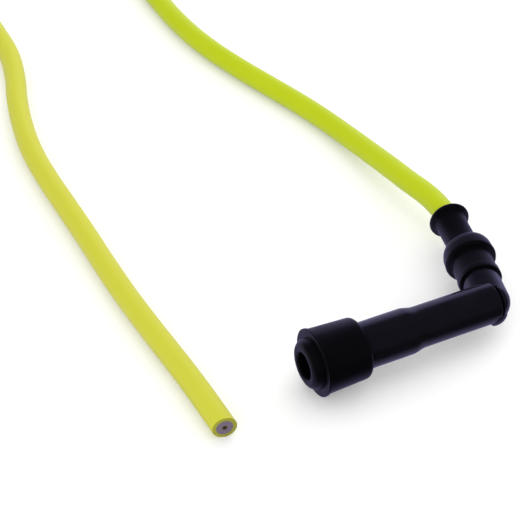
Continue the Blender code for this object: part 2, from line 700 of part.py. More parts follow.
def lead(finish_jacket, finish_insulation, finish_conductor, cable_axis, elbow):
    """The 7 mm lead: its bored end on the screw, the long tube and the layers at the cut end."""
    start = CABLE_BORE_FLOOR + LAYER_GAP + COLLAR_THICKNESS + CLEARANCE
    tube_start = start + SCREWED_END_LENGTH + CLEARANCE
    turned("wire_screwed_end", [
        (start, SCREWED_END_BORE_RADIUS), (start, WIRE_RADIUS),
        (start + SCREWED_END_LENGTH, WIRE_RADIUS),
        (start + SCREWED_END_LENGTH, SCREWED_END_BORE_RADIUS),
    ], finish_jacket, cable_axis, INNER_SIDES)

    inside = [on_cable_axis(elbow, reach) for reach in
              (tube_start, (tube_start + CABLE_EXIT) / 2, CABLE_EXIT - 0.5)]
    end_heading = math.radians(CUT_END_HEADING)
    outward = Vector((math.cos(end_heading), math.sin(end_heading), 0))
    cut = Vector((elbow.x + CUT_END[0], elbow.y + CUT_END[1], WIRE_RADIUS))
    free = [Vector((elbow.x + x, elbow.y + y, z)) for x, y, z in ROUTE]
    knots = inside + free + [cut - outward * (CUT_END_LENGTH + CLEARANCE)]
    line = smooth_line(knots, WIRE_POINT_SPACING)
    tube("wire", line, WIRE_RADIUS, finish_jacket, None, 3)

    end_axis = axis_frame("cut_end_axis", cut, CUT_END_HEADING)
    jacket_end = turned("wire_jacket_end", [
        (-CUT_END_LENGTH, INSULATION_RADIUS + LAYER_GAP), (-CUT_END_LENGTH, WIRE_RADIUS),
        (0, WIRE_RADIUS), (0, INSULATION_RADIUS + LAYER_GAP),
    ], finish_jacket, end_axis, INNER_SIDES)
    insulation_end = turned("wire_insulation_end", [
        (-CUT_END_LENGTH, CONDUCTOR_RADIUS + LAYER_GAP), (-CUT_END_LENGTH, INSULATION_RADIUS),
        (0, INSULATION_RADIUS), (0, CONDUCTOR_RADIUS + LAYER_GAP),
    ], finish_insulation, end_axis, INNER_SIDES)
    strand = CONDUCTOR_RADIUS / 3
    rows = [-CUT_END_LENGTH * k / 16 for k in range(16, -1, -1)]

    def radius_at(along_axis, angle):
        twisted = angle - 2 * math.pi * along_axis / STRAND_LAY
        off = (twisted + math.pi / 6) % (math.pi / 3) - math.pi / 6
        ring = 2 * strand
        return ring * math.cos(off) + math.sqrt(max(0.0, strand ** 2 - (ring * math.sin(off)) ** 2))

    strands = sectioned("wire_conductor_end", rows, radius_at, finish_conductor, end_axis, 30)
    for piece in (jacket_end, insulation_end, strands):
        slant(piece)


def build():
    """Places the two axes and makes every piece along them."""
    clear_scene()
    phenolic = material("black_phenolic", (0.008, 0.0075, 0.011), 0.22)
    rubber = material("black_rubber", (0.006, 0.006, 0.0075), 0.5)
    jacket = material("yellow_jacket", (0.50, 0.60, 0.02), 0.38)
    insulation = material("grey_insulation", (0.34, 0.31, 0.36), 0.6)
    conductor = material("dark_conductor", (0.09, 0.06, 0.05), 0.5, 0.6)
    brass = material("brass", (0.60, 0.42, 0.16), 0.32, 1.0)
    steel = material("spring_steel", (0.50, 0.50, 0.49), 0.3, 1.0)
    ceramic = material("resistor_ceramic", (0.42, 0.30, 0.22), 0.6)

    cable_heading = 180 - ELBOW_ANGLE
    bead = on_cable_axis(Vector((0, 0, 0)), CABLE_EXIT - BEAD_LENGTH / 2)
    leaning = math.radians(cable_heading + NECK_LEAN)
    bead_core = BEAD_RADIUS - BEAD_LENGTH / 2
    high_x = bead.x + bead_core * math.sin(leaning) + BEAD_LENGTH / 2
    high_y = bead.y + bead_core * math.cos(leaning) + BEAD_LENGTH / 2
    low_x = -BOOT_FACE - NOSE_LENGTH
    low_y = -BOOT_LIP_RADIUS
    elbow = Vector((-(low_x + high_x) / 2, -(low_y + high_y) / 2, BOOT_LIP_RADIUS))
    plug_axis = axis_frame("plug_axis", elbow, 0)
    cable_axis = axis_frame("cable_axis", elbow, cable_heading)

    cap_body(phenolic, plug_axis, cable_axis)
    end_cover(phenolic, plug_axis, cable_axis)
    plug_boot(rubber, plug_axis)
    cable_boot(rubber, cable_axis)
    contact_block(brass, plug_axis, cable_axis)
    cable_screw(steel, cable_axis)
    resistor_end = spring_stack(steel, ceramic, brass, plug_axis)
    plug_terminal(brass, plug_axis, resistor_end)
    terminal_clip(steel, plug_axis)
    lead(jacket, insulation, conductor, cable_axis, elbow)


build()
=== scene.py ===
"""Looks of the spark plug wire: a yellow ignition lead with a black elbowed resistor cap.

The script follows the object as it is put together: the camera, then the lead, the metal parts
inside the cap, the moulded body and its lid, the two rubber boots, and the table and light.
"""
import math

import bpy
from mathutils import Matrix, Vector


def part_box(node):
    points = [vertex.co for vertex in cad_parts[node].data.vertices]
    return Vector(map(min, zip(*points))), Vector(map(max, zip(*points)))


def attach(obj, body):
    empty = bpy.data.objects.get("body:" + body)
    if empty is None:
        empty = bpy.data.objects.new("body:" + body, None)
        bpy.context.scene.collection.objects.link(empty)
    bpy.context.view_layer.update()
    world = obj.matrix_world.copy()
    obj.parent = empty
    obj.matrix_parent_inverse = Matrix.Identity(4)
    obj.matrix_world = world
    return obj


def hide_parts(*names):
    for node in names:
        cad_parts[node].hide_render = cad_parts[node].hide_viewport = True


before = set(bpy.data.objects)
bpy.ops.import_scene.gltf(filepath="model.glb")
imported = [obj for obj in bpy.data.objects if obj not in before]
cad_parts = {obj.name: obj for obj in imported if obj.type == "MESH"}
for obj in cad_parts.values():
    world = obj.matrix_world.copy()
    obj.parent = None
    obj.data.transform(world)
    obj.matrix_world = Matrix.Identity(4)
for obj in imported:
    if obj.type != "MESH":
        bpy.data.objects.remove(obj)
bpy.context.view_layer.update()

# Camera
# The photograph looks down on the cap from its plug side, 40 degrees above the table, through a
# long lens. The elbow's centre comes from the plug boot, which lies level on its lip.
MM = 0.001
MOUTH_TO_ELBOW = 60.0 * MM
CAMERA_FROM_ELBOW = (-45.45 * MM, 56.45 * MM)
CAMERA_AZIMUTH = -26.2
CAMERA_ELEVATION = 40.0
CAMERA_DISTANCE = 540.0 * MM
CAMERA_LENS = 123.9
CAMERA_SENSOR = 36.0
CAMERA_NEAR = 10 * MM

boot_low, boot_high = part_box("plug_boot")
elbow = Vector((
    boot_low[0] + MOUTH_TO_ELBOW,
    (boot_low[1] + boot_high[1]) / 2,
    (boot_low[2] + boot_high[2]) / 2,
))
target = Vector((elbow.x + CAMERA_FROM_ELBOW[0], elbow.y + CAMERA_FROM_ELBOW[1], 0))
azimuth = math.radians(CAMERA_AZIMUTH)
elevation = math.radians(CAMERA_ELEVATION)
backwards = Vector((
    math.sin(azimuth) * math.cos(elevation),
    -math.cos(azimuth) * math.cos(elevation),
    math.sin(elevation),
))
bpy.ops.object.camera_add(
    location=target + backwards * CAMERA_DISTANCE,
    rotation=(math.pi / 2 - elevation, 0, azimuth),
)
camera = bpy.context.active_object
camera.name = "photo_camera"
camera.data.lens = CAMERA_LENS
camera.data.sensor_width = CAMERA_SENSOR
camera.data.clip_start = CAMERA_NEAR
bpy.context.scene.camera = camera

# Lead
# A 7 mm ignition cable in a bright yellow silicone jacket. It comes straight out of the cable
# boot, sinks to the table, turns round beyond the picture and comes back to its cut end.
CABLE_HEADING = 75.8
NECK_LEAN = 2.6
NECK_START = 21.8 * MM
CABLE_EXIT = 39.4 * MM
LEAD_IN_BOOT = (19.4 * MM, 30 * MM, CABLE_EXIT - 0.5 * MM)
LEAD_RADIUS = 3.5 * MM
LEAD_ROUND_STEPS = 12
LEAD_LINE_STEPS = 10
LEAD_CREASE = 40.0
TURNED_CREASE = 32.0
LEAD_ROUTE = [
    (9.5, 44.5, 9.7), (9.4, 52.0, 9.3), (8.4, 60.5, 8.5), (7.8, 70.0, 7.3), (6.9, 82.5, 5.6),
    (5.4, 96.0, 4.2), (3.1, 108.8, 3.62), (-0.1, 120.7, 3.52), (-5.0, 136.0, 3.5),
    (-9.6, 151.0, 3.5), (-13.2, 166.0, 3.5), (-15.2, 181.0, 3.5), (-15.8, 197.0, 3.5),
    (-15.6, 214.5, 3.5), (-15.6, 232.0, 3.5), (-19.6, 247.0, 3.5), (-30.6, 258.0, 3.5),
    (-45.6, 262.0, 3.5), (-60.6, 258.0, 3.5), (-71.4, 247.4, 3.5), (-75.6, 232.0, 3.5),
    (-75.8, 218.0, 3.5), (-75.8, 204.0, 3.5), (-76.5, 190.0, 3.5), (-79.3, 176.5, 3.5),
    (-83.3, 163.5, 3.5), (-86.6, 150.0, 3.5), (-89.0, 135.0, 3.5), (-89.8, 119.0, 3.5),
    (-89.7, 103.0, 3.5), (-89.6, 87.0, 3.5), (-89.7, 71.0, 3.5), (-89.5, 55.0, 3.5),
    (-88.8, 40.0, 3.5), (-87.9, 26.0, 3.5), (-87.2, 13.0, 3.5),
]
LEAD_CUT = (-86.75, -6.0, 3.5)
LEAD_CUT_HEADING = -88.5
CUT_SLANT = 10.0
CUT_ALLOWANCE = 2.0 * MM
CUT_EDGE = 0.12 * MM
JACKET_YELLOW = (0.525, 0.63, 0.005, 1)
JACKET_SHADED = (0.485, 0.585, 0.004, 1)
# A paler, whiter yellow, mixed in along X from the first to the second place below, towards the cut
# end: a painted sheen.
JACKET_PAINTED_SHEEN = (0.61, 0.61, 0.045, 1)
JACKET_SHEEN = (1, 1, 0.3, 1)
SHEEN_PAINT_START = -0.01
SHEEN_PAINT_END = -0.06
GRAIN_DETAIL = 6
PATCH_DETAIL = 4
PATCH_RANGE = (0.3, 0.7)


def principled(name, roughness, metallic=0.0):
    """A new material and the parts of its node tree."""
    finish = bpy.data.materials.new(name)
    finish.use_nodes = True
    nodes = finish.node_tree.nodes
    shader = nodes["Principled BSDF"]
    shader.inputs["Roughness"].default_value = roughness
    shader.inputs["Metallic"].default_value = metallic
    return finish, nodes, finish.node_tree.links, shader


def surface_grain():
    """Node group for the fine unevenness of a real surface, in object space.

    Patches is a slow change for colour and roughness, Height is a fine one for bump.
    """
    group = bpy.data.node_groups.new("surface_grain", "ShaderNodeTree")
    group.interface.new_socket("Patch Scale", in_out="INPUT", socket_type="NodeSocketFloat")
    group.interface.new_socket("Grain Scale", in_out="INPUT", socket_type="NodeSocketFloat")
    group.interface.new_socket("Patches", in_out="OUTPUT", socket_type="NodeSocketFloat")
    group.interface.new_socket("Height", in_out="OUTPUT", socket_type="NodeSocketFloat")
    nodes = group.nodes
    links = group.links
    given = nodes.new("NodeGroupInput")
    place = nodes.new("ShaderNodeTexCoord")
    patches = nodes.new("ShaderNodeTexNoise")
    patches.inputs["Detail"].default_value = PATCH_DETAIL
    grain = nodes.new("ShaderNodeTexNoise")
    grain.inputs["Detail"].default_value = GRAIN_DETAIL
    grain.inputs["Roughness"].default_value = 0.6
    result = nodes.new("NodeGroupOutput")
    links.new(place.outputs["Object"], patches.inputs["Vector"])
    links.new(place.outputs["Object"], grain.inputs["Vector"])
    links.new(given.outputs["Patch Scale"], patches.inputs["Scale"])
    links.new(given.outputs["Grain Scale"], grain.inputs["Scale"])
    links.new(patches.outputs["Fac"], result.inputs["Patches"])
    links.new(grain.outputs["Fac"], result.inputs["Height"])
    return group


grain_group = surface_grain()


def grained(name, dark, light, smooth, rough, patch_scale, grain_scale, relief, metallic=0.0):
    """A material whose colour and gloss drift in patches over a fine grain."""
    finish, nodes, links, shader = principled(name, rough, metallic)
    grain = nodes.new("ShaderNodeGroup")
    grain.node_tree = grain_group
    grain.inputs["Patch Scale"].default_value = patch_scale
    grain.inputs["Grain Scale"].default_value = grain_scale
    tint = nodes.new("ShaderNodeMix")
    tint.data_type = "RGBA"
    tint.inputs[6].default_value = dark
    tint.inputs[7].default_value = light
    gloss = nodes.new("ShaderNodeMapRange")
    gloss.inputs["From Min"].default_value = PATCH_RANGE[0]
    gloss.inputs["From Max"].default_value = PATCH_RANGE[1]
    gloss.inputs["To Min"].default_value = smooth
    gloss.inputs["To Max"].default_value = rough
    bump = nodes.new("ShaderNodeBump")
    bump.inputs["Strength"].default_value = 1.0
    bump.inputs["Distance"].default_value = relief
    links.new(grain.outputs["Patches"], tint.inputs[0])
    links.new(grain.outputs["Patches"], gloss.inputs["Value"])
    links.new(tint.outputs[2], shader.inputs["Base Color"])
    links.new(gloss.outputs["Result"], shader.inputs["Roughness"])
    links.new(grain.outputs["Height"], bump.inputs["Height"])
    links.new(bump.outputs["Normal"], shader.inputs["Normal"])
    return finish, shader


def way_at(turn):
    """The level direction at an angle from +X."""
    around = math.radians(turn)
    return Vector((math.cos(around), math.sin(around), 0))


def on_cable_axis(reach):
    """A point on the axis of the cable leg and the leaning neck, so far from the elbow."""
    straight = min(reach, NECK_START)
    beyond = reach - straight
    return elbow + way_at(CABLE_HEADING) * straight + way_at(CABLE_HEADING + NECK_LEAN) * beyond


above_elbow = Vector((elbow.x, elbow.y, 0))
cut_place = above_elbow + Vector(LEAD_CUT) * MM
cut_way = way_at(LEAD_CUT_HEADING)
lead_points = [on_cable_axis(reach) for reach in LEAD_IN_BOOT]
lead_points += [above_elbow + Vector(point) * MM for point in LEAD_ROUTE]
lead_points.append(cut_place)
lead_points.append(cut_place + cut_way * CUT_ALLOWANCE)
lead_curve = bpy.data.curves.new("lead", "CURVE")
lead_curve.dimensions = "3D"
lead_curve.bevel_depth = LEAD_RADIUS
lead_curve.bevel_resolution = LEAD_ROUND_STEPS
lead_curve.resolution_u = LEAD_LINE_STEPS
lead_curve.use_fill_caps = True
lead_line = lead_curve.splines.new("BEZIER")
lead_line.bezier_points.add(len(lead_points) - 1)
for knot, point in zip(lead_line.bezier_points, lead_points):
    knot.co = point
    knot.handle_left_type = "AUTO"
    knot.handle_right_type = "AUTO"
lead = bpy.data.objects.new("lead", lead_curve)
bpy.context.collection.objects.link(lead)
jacket_yellow, jacket_shader = grained(
    "jacket_yellow", JACKET_SHADED, JACKET_YELLOW, smooth=0.34, rough=0.48,
    patch_scale=90, grain_scale=2600, relief=0.012 * MM)
nodes = jacket_yellow.node_tree.nodes
links = jacket_yellow.node_tree.links
patch_yellow = jacket_shader.inputs["Base Color"].links[0].from_socket
# Along X, towards the cut end, the yellow turns to that paler, whiter yellow: a painted sheen mixed
# over the patches.
place = nodes.new("ShaderNodeTexCoord")
across = nodes.new("ShaderNodeSeparateXYZ")
painted_sheen_ramp = nodes.new("ShaderNodeMapRange")
painted_sheen_ramp.inputs["From Min"].default_value = SHEEN_PAINT_START
painted_sheen_ramp.inputs["From Max"].default_value = SHEEN_PAINT_END
painted_sheen_mix = nodes.new("ShaderNodeMix")
painted_sheen_mix.data_type = "RGBA"
painted_sheen_mix.inputs[7].default_value = JACKET_PAINTED_SHEEN
links.new(place.outputs["Object"], across.inputs[0])
links.new(across.outputs["X"], painted_sheen_ramp.inputs["Value"])
links.new(painted_sheen_ramp.outputs["Result"], painted_sheen_mix.inputs[0])
links.new(patch_yellow, painted_sheen_mix.inputs[6])
links.new(painted_sheen_mix.outputs[2], jacket_shader.inputs["Base Color"])
jacket_shader.inputs["Specular IOR Level"].default_value = 0.25
jacket_shader.inputs["Sheen Weight"].default_value = 1.0
jacket_shader.inputs["Sheen Roughness"].default_value = 0.15
jacket_shader.inputs["Sheen Tint"].default_value = JACKET_SHEEN
# The cut face has the jacket's own yellow, painted darker and more olive for the shade on it.
cut_yellow_painted_shade, _ = grained(
    "cut_yellow_painted_shade", (0.31, 0.305, 0.01, 1), (0.385, 0.38, 0.02, 1), smooth=0.5, rough=0.7,
    patch_scale=900, grain_scale=3000, relief=0.03 * MM)
lead_curve.materials.append(jacket_yellow)
lead_curve.materials.append(cut_yellow_painted_shade)

lead_line = lead.copy()
lead_line.data = lead_curve.copy()
lead_line.data.bevel_depth = 0
bpy.context.collection.objects.link(lead_line)
for tube in (lead_line, lead):
    bpy.ops.object.select_all(action="DESELECT")
    tube.select_set(True)
    bpy.context.view_layer.objects.active = tube
    bpy.ops.object.convert(target="MESH")
lead_path = [tuple(vertex.co) for vertex in lead_line.data.vertices]
while (Vector(lead_path[-1]) - cut_place).dot(cut_way) > 0:
    lead_path.pop()
lead_path.append(tuple(cut_place))
bpy.data.objects.remove(lead_line, do_unlink=True)

bpy.ops.object.mode_set(mode="EDIT")
bpy.ops.mesh.select_all(action="SELECT")
bpy.ops.mesh.bisect(
    plane_co=cut_place, plane_no=way_at(LEAD_CUT_HEADING - CUT_SLANT), use_fill=True,
    clear_outer=True)
lead.active_material_index = 1
bpy.ops.object.material_slot_assign()
bpy.ops.mesh.region_to_loop()
bpy.ops.mesh.bevel(offset=CUT_EDGE, segments=2, affect="EDGES")
bpy.ops.object.mode_set(mode="OBJECT")
lead.active_material_index = 0
bpy.ops.object.shade_smooth_by_angle(angle=math.radians(LEAD_CREASE))
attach(lead, "root")
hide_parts("wire", "wire_jacket_end")

# Lead's cut face
# The jacket, the grey insulation under it and the dark strands, cut off a little askew with a
# pair of cable cutters. The insulation stands a hair proud, where the jacket has drawn back.
INSULATION_RADIUS = 2.42 * MM
INSULATION_DEPTH = 8.0 * MM
INSULATION_PROUD = 0.06 * MM
INSULATION_CROWN = ((1.0, 0.55), (0.9, 0.9), (0.2, 1.0))
INSULATION_SIDES = 64
STRAND_COUNT = 7
STRAND_RADIUS = 0.235 * MM
STRAND_PITCH = 2.05 * STRAND_RADIUS
STRAND_SIDES = 16
STRAND_EDGE = 0.04 * MM
STRAND_PROUD = 0.12 * MM
STRANDS_RADIUS = 0.78 * MM
SLANT_DEPTH = 1.0 * MM
WELD_DISTANCE = 0.002 * MM


def turn_rings(name, stations, sides):
    """Draws a turned piece along X: a circle, extruded and scaled from station to station."""
    along, radius = stations[0]
    bpy.ops.object.select_all(action="DESELECT")
    bpy.ops.mesh.primitive_circle_add(
        vertices=sides, radius=radius, location=(along, 0, 0), rotation=(0, math.pi / 2, 0))
    piece = bpy.context.active_object
    piece.name = name
    bpy.ops.object.transform_apply(location=True, rotation=True, scale=True)
    bpy.ops.object.mode_set(mode="EDIT")
    bpy.ops.mesh.select_all(action="SELECT")
    for next_along, next_radius in stations[1:]:
        bpy.ops.mesh.extrude_region_move(
            TRANSFORM_OT_translate={"value": (next_along - along, 0, 0)})
        size = next_radius / radius
        bpy.ops.transform.resize(value=(1, size, size), center_override=(next_along, 0, 0))
        along = next_along
        radius = next_radius
    return piece


def close_rings(piece, smooth_angle=TURNED_CREASE):
    """Merges where the outline meets itself, turns the faces out and smooths the round sides."""
    bpy.ops.mesh.select_all(action="SELECT")
    bpy.ops.mesh.remove_doubles(threshold=WELD_DISTANCE)
    bpy.ops.mesh.normals_make_consistent(inside=False)
    bpy.ops.object.mode_set(mode="OBJECT")
    bpy.ops.object.shade_smooth_by_angle(angle=math.radians(smooth_angle))
    return piece


def turn_beyond(piece, along, pivot, turn):
    """Turns what lies beyond a place on a piece drawn along X, seen from above.

    The sign is changed, because with no window this operator turns the other way.
    """
    bpy.ops.object.mode_set(mode="EDIT")
    bpy.ops.mesh.select_mode(type="VERT")
    bpy.ops.mesh.select_all(action="DESELECT")
    bpy.ops.object.mode_set(mode="OBJECT")
    for vertex in piece.data.vertices:
        vertex.select = vertex.co.x > along
    bpy.ops.object.mode_set(mode="EDIT")
    bpy.ops.transform.rotate(
        value=-math.radians(turn), orient_axis="Z", center_override=(pivot, 0, 0))
    bpy.ops.object.mode_set(mode="OBJECT")


def put_in_place(piece, place, turn):
    """Moves a piece drawn along X to its place, turned about the vertical, and applies it."""
    bpy.ops.object.select_all(action="DESELECT")
    piece.select_set(True)
    bpy.context.view_layer.objects.active = piece
    piece.location = place
    piece.rotation_euler = (0, 0, math.radians(turn))
    bpy.ops.object.transform_apply(location=True, rotation=True, scale=True)


insulation = turn_rings("lead_insulation", [
    (INSULATION_PROUD, STRANDS_RADIUS),
    *[(INSULATION_PROUD * high, INSULATION_RADIUS * wide) for high, wide in INSULATION_CROWN],
    (-INSULATION_DEPTH, INSULATION_RADIUS),
    (-INSULATION_DEPTH, STRANDS_RADIUS),
    (INSULATION_PROUD, STRANDS_RADIUS),
], INSULATION_SIDES)
close_rings(insulation)
turn_beyond(insulation, -SLANT_DEPTH, 0, -CUT_SLANT)
put_in_place(insulation, cut_place, LEAD_CUT_HEADING)
insulation_grey, _ = grained(
    "insulation_grey", (0.145, 0.11, 0.152, 1), (0.21, 0.162, 0.218, 1), smooth=0.5, rough=0.7,
    patch_scale=900, grain_scale=3000, relief=0.03 * MM)
insulation.data.materials.append(insulation_grey)
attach(insulation, "root")
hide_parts("wire_insulation_end")

strands = []
for turn in range(STRAND_COUNT):
    bpy.ops.object.select_all(action="DESELECT")
    ring = 0 if turn == STRAND_COUNT - 1 else STRAND_PITCH
    angle = 2 * math.pi * turn / (STRAND_COUNT - 1)
    bpy.ops.mesh.primitive_cylinder_add(
        vertices=STRAND_SIDES, radius=STRAND_RADIUS, depth=INSULATION_DEPTH,
        location=(0, ring * math.cos(angle), ring * math.sin(angle)), rotation=(0, math.pi / 2, 0))
    strand = bpy.context.active_object
    bpy.ops.object.mode_set(mode="EDIT")
    bpy.ops.mesh.select_all(action="SELECT")
    bpy.ops.mesh.bevel(offset=STRAND_EDGE, segments=2, affect="EDGES", clamp_overlap=True)
    bpy.ops.object.mode_set(mode="OBJECT")
    strands.append(strand)
for strand in strands:
    strand.select_set(True)
bpy.ops.object.join()
core = bpy.context.active_object
core.name = "lead_strands"
bpy.ops.object.transform_apply(location=True, rotation=True, scale=True)
bpy.ops.object.shade_smooth_by_angle(angle=math.radians(LEAD_CREASE))
core.location = (-INSULATION_DEPTH / 2 + STRAND_PROUD, 0, 0)
bpy.ops.object.transform_apply(location=True, rotation=True, scale=True)
turn_beyond(core, -SLANT_DEPTH, 0, -CUT_SLANT)
put_in_place(core, cut_place, LEAD_CUT_HEADING)
# The copper strands are painted dark brown: painted shade over the copper's own colour.
strand_copper_painted_shade, _ = grained(
    "strand_copper_painted_shade", (0.05, 0.035, 0.03, 1), (0.16, 0.10, 0.07, 1), smooth=0.35, rough=0.6,
    patch_scale=2000, grain_scale=6000, relief=0.01 * MM, metallic=0.7)
core.data.materials.append(strand_copper_painted_shade)
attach(core, "root")
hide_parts("wire_conductor_end")

# Contact train
# Steel screw, brass block, steel spring, ceramic resistor with brass caps, and the slotted brass
# socket with its clip. They are dropped in through the elbow and the mouth, and stay as the CAD
# has them, with turned and drawn metal finishes.
turned_brass, _ = grained(
    "turned_brass", (0.50, 0.34, 0.12, 1), (0.66, 0.47, 0.19, 1), smooth=0.22, rough=0.4,
    patch_scale=500, grain_scale=5000, relief=0.004 * MM, metallic=1.0)
drawn_steel, _ = grained(
    "drawn_steel", (0.40, 0.40, 0.39, 1), (0.56, 0.56, 0.55, 1), smooth=0.2, rough=0.38,
    patch_scale=600, grain_scale=6000, relief=0.003 * MM, metallic=1.0)
fired_ceramic, _ = grained(
    "fired_ceramic", (0.36, 0.25, 0.18, 1), (0.46, 0.33, 0.24, 1), smooth=0.5, rough=0.7,
    patch_scale=700, grain_scale=4000, relief=0.01 * MM)
TRAIN_FINISHES = {
    "contact_block": turned_brass,
    "resistor_cap_cable_side": turned_brass,
    "resistor_cap_plug_side": turned_brass,
    "plug_terminal": turned_brass,
    "cable_screw": drawn_steel,
    "contact_spring": drawn_steel,
    "terminal_clip": drawn_steel,
    "resistor_rod": fired_ceramic,
    "wire_screwed_end": jacket_yellow,
}
for node, finish in TRAIN_FINISHES.items():
    bpy.data.objects[node].material_slots[0].material = finish

# Cap body
# One glossy black phenolic moulding: the plug leg, a thick barrel that tapers to a thinner stem,
# and the slightly conical cable leg that turns off at its end. Both are bored, and meet in the
# elbow, whose back is left open for the lid.
BODY_FRONT = -51.5 * MM
BARREL_RADIUS = 6.75 * MM
BARREL_REAR = -28.0 * MM
BARREL_BAND = 6.0 * MM
TAPER_LENGTH = 4.2 * MM
TAPER_EASE = 0.05 * MM
TAPER_TURN = 0.15
STEM_RADIUS = 6.0 * MM
STEM_END = 0.5 * MM
STEM_BAND = 4.0 * MM
BODY_ROUNDING = 0.35 * MM
BODY_ROUNDING_STEPS = 8
LEG_ROOT = 0.6 * MM
LEG_ROOT_RADIUS = 5.65 * MM
LEG_RADIUS = 5.6 * MM
LEG_LENGTH = 21.5 * MM
LEG_DRAFT_END = 9.5 * MM
LEG_DRAFT = ((3.0 * MM, LEG_ROOT_RADIUS - 0.02 * MM), (6.0 * MM, LEG_RADIUS + 0.01 * MM))
SOCKET_BORE = 5.0 * MM
SOCKET_FLOOR = -33.0 * MM
CONTACT_BORE = 3.25 * MM
CONTACT_BORE_END = 3.3 * MM
SPIGOT_BORE = 4.6 * MM
SPIGOT_BORE_DEPTH = 2.5 * MM
CABLE_BORE = 3.75 * MM
CABLE_BORE_FLOOR = 8.8 * MM
SCREW_HOLE = 1.05 * MM
SCREW_HOLE_START = 1.6 * MM
OVERCUT = 1.0 * MM
BODY_SIDES = 192
BAR_SIDES = 64
CREASE_ANGLE = 14.0


def rounded(along, radius, size, start, end, steps=4):
    """Stations round a corner: 0 degrees points along the leg and 90 degrees outwards."""
    stations = []
    for step in range(steps + 1):
        angle = math.radians(start + (end - start) * step / steps)
        stations.append((along + size * math.cos(angle), radius + size * math.sin(angle)))
    return stations


def fill_ends(piece):
    """Closes the first and last ring of a turned piece with flat faces."""
    bpy.ops.mesh.select_all(action="DESELECT")
    bpy.ops.mesh.select_non_manifold()
    bpy.ops.mesh.edge_face_add()
    return close_rings(piece)


def cut_with(piece, tool, operation="DIFFERENCE"):
    """Applies a boolean with a tool piece, then takes the tool away."""
    bpy.ops.object.select_all(action="DESELECT")
    piece.select_set(True)
    bpy.context.view_layer.objects.active = piece
    step = piece.modifiers.new("cut", "BOOLEAN")
    step.object = tool
    step.operation = operation
    step.solver = "EXACT"
    bpy.ops.object.modifier_apply(modifier="cut")
    bpy.data.objects.remove(tool, do_unlink=True)


def bar(name, start, end, radius, sides=BAR_SIDES):
    """A plain round bar along X, used as a cutter."""
    return fill_ends(turn_rings(name, [(start, radius), (end, radius)], sides))


body = fill_ends(turn_rings("moulded_body", [
    *rounded(BODY_FRONT + BODY_ROUNDING, BARREL_RADIUS - BODY_ROUNDING, BODY_ROUNDING, 180, 90,
             BODY_ROUNDING_STEPS),
    (BARREL_REAR - BARREL_BAND, BARREL_RADIUS),
    (BARREL_REAR, BARREL_RADIUS),
    (BARREL_REAR + TAPER_LENGTH * TAPER_TURN, BARREL_RADIUS - TAPER_EASE),
    (BARREL_REAR + TAPER_LENGTH / 2, (BARREL_RADIUS + STEM_RADIUS) / 2),
    (BARREL_REAR + TAPER_LENGTH * (1 - TAPER_TURN), STEM_RADIUS + TAPER_EASE),
    (BARREL_REAR + TAPER_LENGTH, STEM_RADIUS),
    (STEM_END - STEM_BAND, STEM_RADIUS),
    *rounded(STEM_END - BODY_ROUNDING, STEM_RADIUS - BODY_ROUNDING, BODY_ROUNDING, 90, 0,
             BODY_ROUNDING_STEPS),
], BODY_SIDES))
put_in_place(body, elbow, 0)
leg = fill_ends(turn_rings("cable_leg", [
    (LEG_ROOT, LEG_ROOT_RADIUS),
    *[(LEG_ROOT + reach, radius) for reach, radius in LEG_DRAFT],
    (LEG_DRAFT_END, LEG_RADIUS),
    *rounded(LEG_LENGTH - BODY_ROUNDING, LEG_RADIUS - BODY_ROUNDING, BODY_ROUNDING, 90, 0,
             BODY_ROUNDING_STEPS),
], BODY_SIDES))
put_in_place(leg, elbow, CABLE_HEADING)
cut_with(body, leg, "UNION")
for name, start, end, radius in (
        ("socket_bore", BODY_FRONT - OVERCUT, SOCKET_FLOOR, SOCKET_BORE),
        ("contact_bore", SOCKET_FLOOR - OVERCUT, CONTACT_BORE_END, CONTACT_BORE),
        ("spigot_bore", STEM_END - SPIGOT_BORE_DEPTH, STEM_END + OVERCUT, SPIGOT_BORE)):
    tool = bar(name, start, end, radius)
    put_in_place(tool, elbow, 0)
    cut_with(body, tool)
for name, start, end, radius in (
        ("screw_hole", SCREW_HOLE_START, CABLE_BORE_FLOOR + OVERCUT, SCREW_HOLE),
        ("cable_bore", CABLE_BORE_FLOOR, LEG_LENGTH + OVERCUT, CABLE_BORE)):
    tool = bar(name, start, end, radius)
    put_in_place(tool, elbow, CABLE_HEADING)
    cut_with(body, tool)
moulded_black, _ = grained(
    "moulded_black", (0.0028, 0.0027, 0.0042, 1), (0.0040, 0.0038, 0.0060, 1), smooth=0.16,
    rough=0.26, patch_scale=120, grain_scale=1800, relief=0.006 * MM)
body.data.materials.clear()
body.data.materials.append(moulded_black)
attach(body, "root")
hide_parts("cap_body")

# Lid
# A round phenolic cover that snaps into the open back of the elbow, once the contact train is in.
# Its ball-shaped outside carries the cable leg's root on round the corner, and a rounded claw on
# it hooks over the body's lower edge. A fine dark gap shows where the two meet.
COVER_FACE = 1.5 * MM
COVER_RADIUS = 5.65 * MM
COVER_RECESS = 1.3 * MM
COVER_EDGE = 0.15 * MM
COVER_GAP = 0.08 * MM
SPIGOT_RADIUS = 4.3 * MM
SPIGOT_WALL = 0.9 * MM
SPIGOT_END = -1.7 * MM
BALL_STEPS = 24
POLE_RADIUS = 0.0005 * MM
CLAW_RADIUS = 4.4 * MM
CLAW_OFFSET = 2.5 * MM
CLAW_WAY = 238.0
CLAW_TIP = -0.7 * MM
CLAW_INNER = 5.5 * MM
CLAW_MARGIN = 0.3 * MM
CLAW_SIDES = 96
CLAW_HOLLOW_SIDES = 180
CLAW_OVERLAP = 0.2 * MM
CORE_OVERLAP = 0.3 * MM
NOTCH_END = 8.0 * MM
WELL_BEYOND = 2.0 * MM
CLEARANCE_END = 20.0 * MM
CLEARANCE_RADIUS = 9.0 * MM
SPARED_DEPTH = 0.35 * MM
SPARED_MARGIN = 0.37 * MM
SPARED_SIDES = 100
STUD_RELIEF_START = 3.0 * MM


